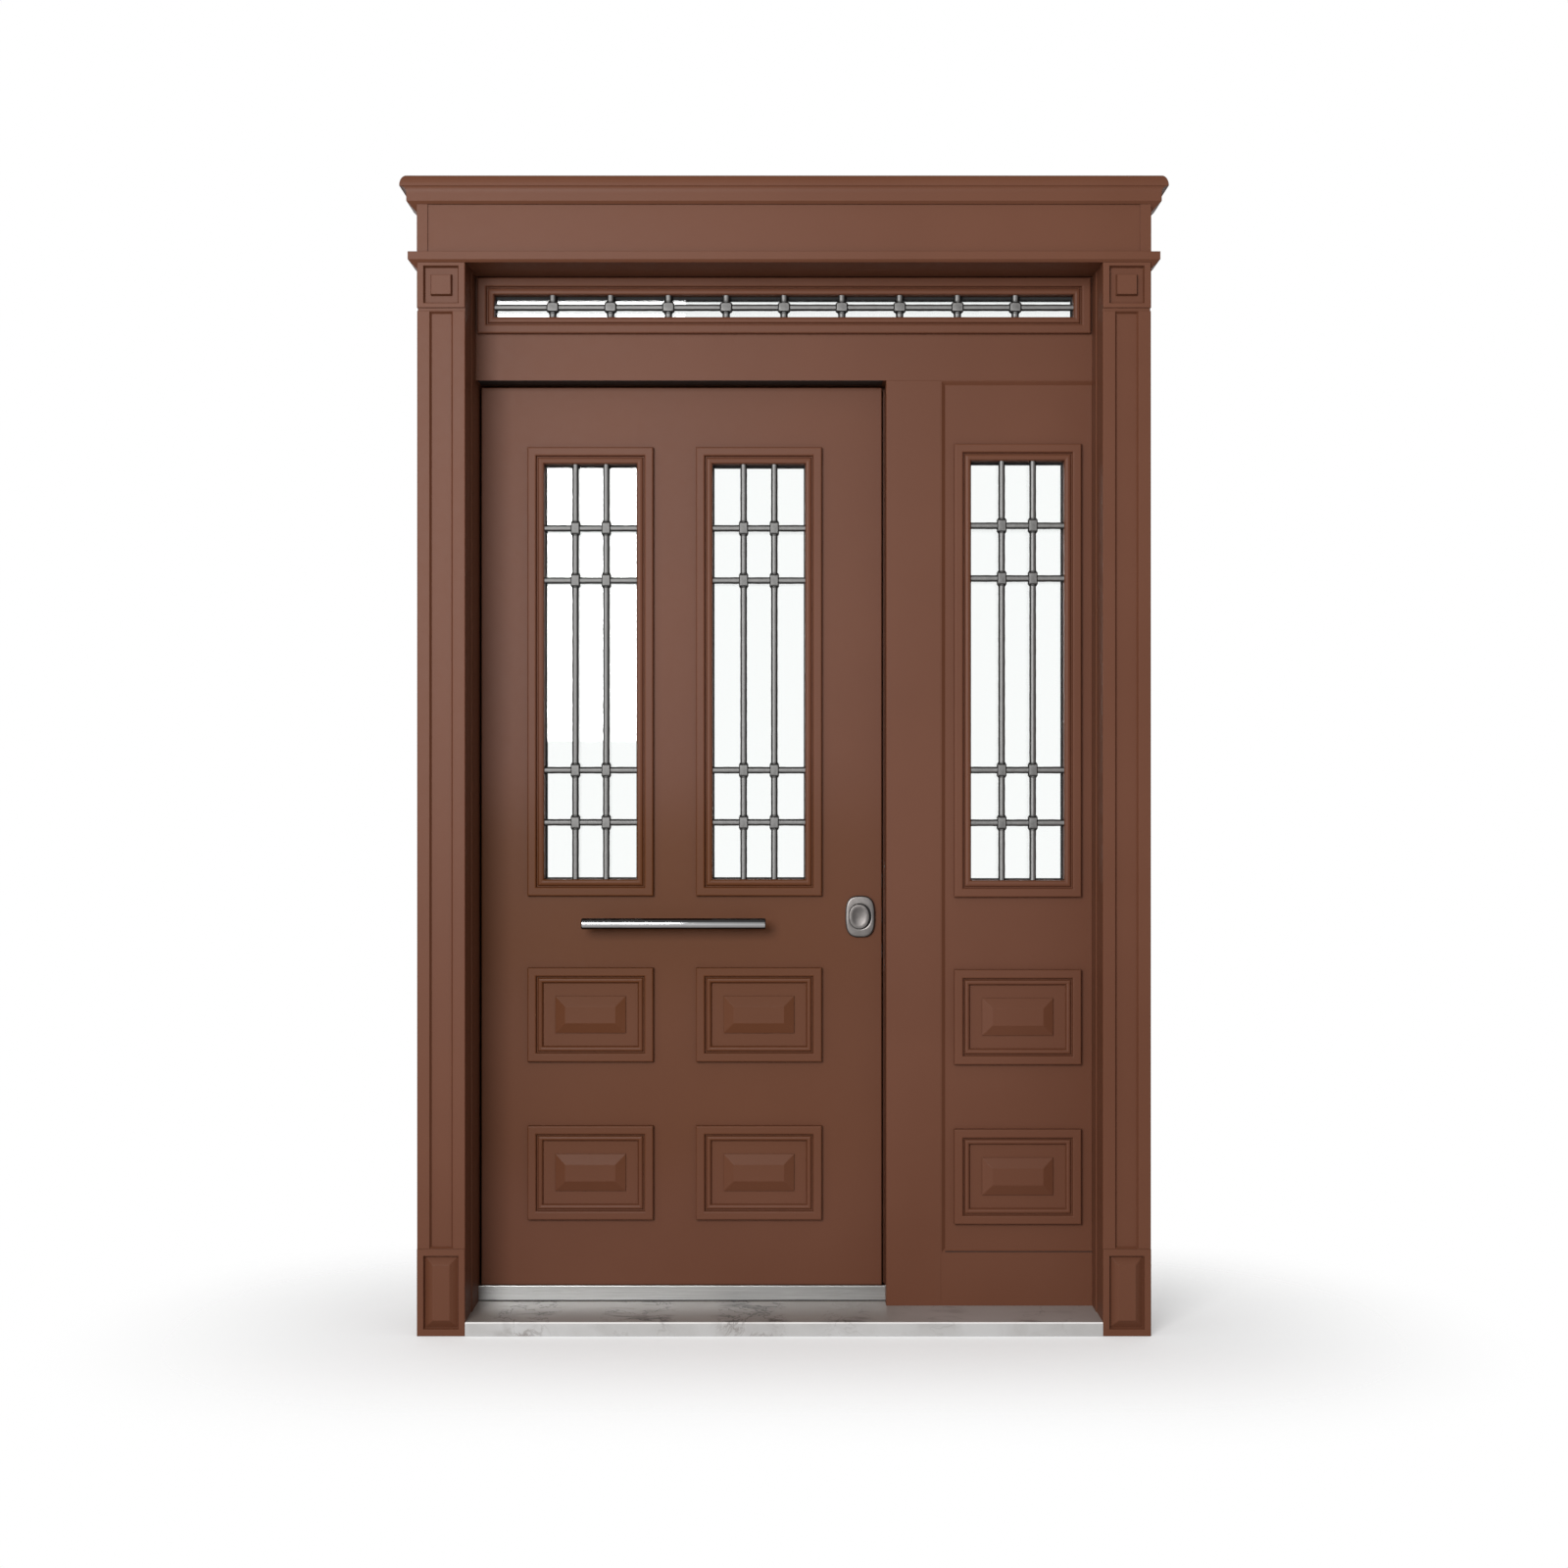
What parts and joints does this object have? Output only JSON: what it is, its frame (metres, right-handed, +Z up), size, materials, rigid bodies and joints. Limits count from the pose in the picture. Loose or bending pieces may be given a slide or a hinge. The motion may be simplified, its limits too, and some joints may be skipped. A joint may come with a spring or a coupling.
{
  "type": "steel entrance door set",
  "caption": "Brown steel entrance door with grilled windows, fixed side panel and transom light, in a casing of pilasters and moulded head, hinged at its left side.",
  "frame": {"origin": "on the underside of the stone sill, at floor level, on the opening's centre line and in the plane of the wall's outer face", "axes": "+X to the right as seen from outside, +Y into the house, +Z up"},
  "size_m": [1.6754, 0.3625, 2.531],
  "materials": {
    "brown_paint": "satin powder coat",
    "glass": "clear",
    "grey_iron": "satin grey",
    "marble": "honed, grey veins",
    "stainless_steel": "brushed",
    "hinge_steel": "satin",
    "chrome": "polished",
    "black_rubber": "matte"
  },
  "bodies": {
    "frame": {"left_plinth_block": "brown_paint", "right_plinth_block": "brown_paint", "left_pilaster_shaft": "brown_paint", "right_pilaster_shaft": "brown_paint", "left_capital_block": "brown_paint", "right_capital_block": "brown_paint", "architrave": "brown_paint", "frieze": "brown_paint", "cornice": "brown_paint", "left_jamb": "brown_paint", "right_jamb": "brown_paint", "head_jamb": "brown_paint", "mullion": "brown_paint", "side_bottom_rail": "brown_paint", "transom_panel": "brown_paint", "transom_mouldings": "brown_paint", "transom_glass": "glass", "transom_grille": "grey_iron", "side_panel": "brown_paint", "side_window_mouldings": "brown_paint", "side_glass": "glass", "side_grille": "grey_iron", "side_raised_panels": "brown_paint", "sill": "marble", "threshold": "stainless_steel", "frame_hinge_halves": "hinge_steel", "strike_plate": "hinge_steel"},
    "leaf": {"leaf_core": "brown_paint", "leaf_skin": "brown_paint", "leaf_seal": "black_rubber", "leaf_window_mouldings": "brown_paint", "leaf_glass": "glass", "left_grille": "grey_iron", "right_grille": "grey_iron", "upper_raised_panels": "brown_paint", "lower_raised_panels": "brown_paint", "inner_raised_panels": "brown_paint", "pull_bars": "chrome", "pull_bar_posts": "chrome", "lock_escutcheons": "chrome", "lock_guards": "chrome", "lock_faceplate": "hinge_steel", "leaf_hinge_halves": "hinge_steel"}
  },
  "joints": [
    {"name": "leaf_hinge", "type": "hinge", "parent": "frame", "child": "leaf", "pos_m": [-0.717, 0.182, 1.087], "axis": [0, 0, 1], "range_deg": [0, 105]}
  ]
}
